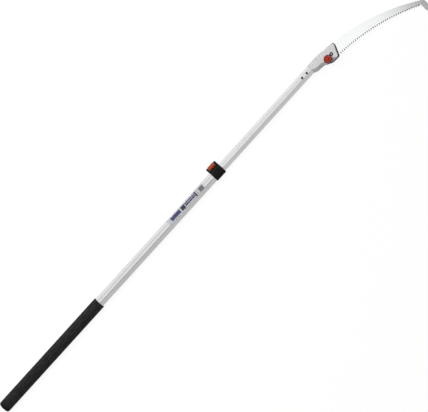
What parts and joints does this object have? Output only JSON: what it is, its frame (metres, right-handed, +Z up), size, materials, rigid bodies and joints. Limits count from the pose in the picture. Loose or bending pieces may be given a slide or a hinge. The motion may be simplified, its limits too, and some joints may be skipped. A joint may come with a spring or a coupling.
{
  "type": "telescopic pole saw",
  "caption": "Telescopic pruning saw: oval aluminium pole with a black grip and a red cam lever, and a curved toothed blade with a hooked tip in a clamping head.",
  "frame": {"origin": "middle of the butt end's flat face, on the pole's axis", "axes": "+X along the pole from the butt to the blade, +Y towards the blade's spine and the lock lever, +Z up from the flat of the pole on the clamp knob's side; the tool lies on its side"},
  "size_m": [1.9082, 0.1969, 0.0408],
  "materials": {
    "tube": "satin anodised",
    "grip": "matte, faintly grained",
    "black_plastic": "moulded satin",
    "red_plastic": "moulded gloss",
    "head": "cast, satin grey",
    "bright_steel": "bright zinc plate",
    "dark_steel": "blackened",
    "brass": "turned",
    "blade": "ground and hard plated"
  },
  "bodies": {
    "lower_pole": {"outer_tube": "tube", "grip_sleeve": "grip", "butt_cap": "black_plastic", "clamp_collar": "black_plastic", "tube_bush": "black_plastic", "collar_screw_top": "dark_steel", "collar_screw_bottom": "dark_steel", "lever_pin": "bright_steel"},
    "lever": {"lock_lever": "red_plastic"},
    "shoe": {"brake_shoe": "black_plastic"},
    "upper_pole": {"inner_tube": "tube", "foot_plug": "black_plastic", "head_cover": "head", "head_base": "head", "head_screw_rear": "dark_steel", "head_screw_front": "dark_steel", "head_nut_rear": "bright_steel", "head_nut_front": "bright_steel", "liner_top": "black_plastic", "liner_bottom": "black_plastic", "pivot_bolt": "bright_steel", "pivot_nut": "dark_steel", "clamp_bolt": "bright_steel", "knob_washer": "bright_steel"},
    "knob": {"clamp_knob": "red_plastic", "knob_insert": "brass"},
    "blade": {"saw_blade": "blade"}
  },
  "joints": [
    {"name": "pole_slide", "type": "slide", "parent": "lower_pole", "child": "upper_pole", "axis": [1, 0, 0], "range_m": [-0.38, 0.42]},
    {"name": "lever_hinge", "type": "hinge", "parent": "lower_pole", "child": "lever", "pos_m": [1.0415, 0.0285, 0], "axis": [1, 0, 0], "range_deg": [0, 110]},
    {"name": "shoe_slide", "type": "slide", "parent": "lower_pole", "child": "shoe", "axis": [0, 1, 0], "range_m": [0, 0.001]},
    {"name": "blade_pivot", "type": "hinge", "parent": "upper_pole", "child": "blade", "pos_m": [1.5751, -0.0176, 0], "axis": [0, 0, 1], "range_deg": [-12, 12]},
    {"name": "knob_turn", "type": "hinge", "parent": "upper_pole", "child": "knob", "pos_m": [1.5543, -0.0213, 0.018], "axis": [0, 0, 1], "range_deg": [0, 360]}
  ],
  "couplings": [
    {"joint": "shoe_slide", "follows": "lever_hinge", "m_per_rad": 0.0005}
  ]
}
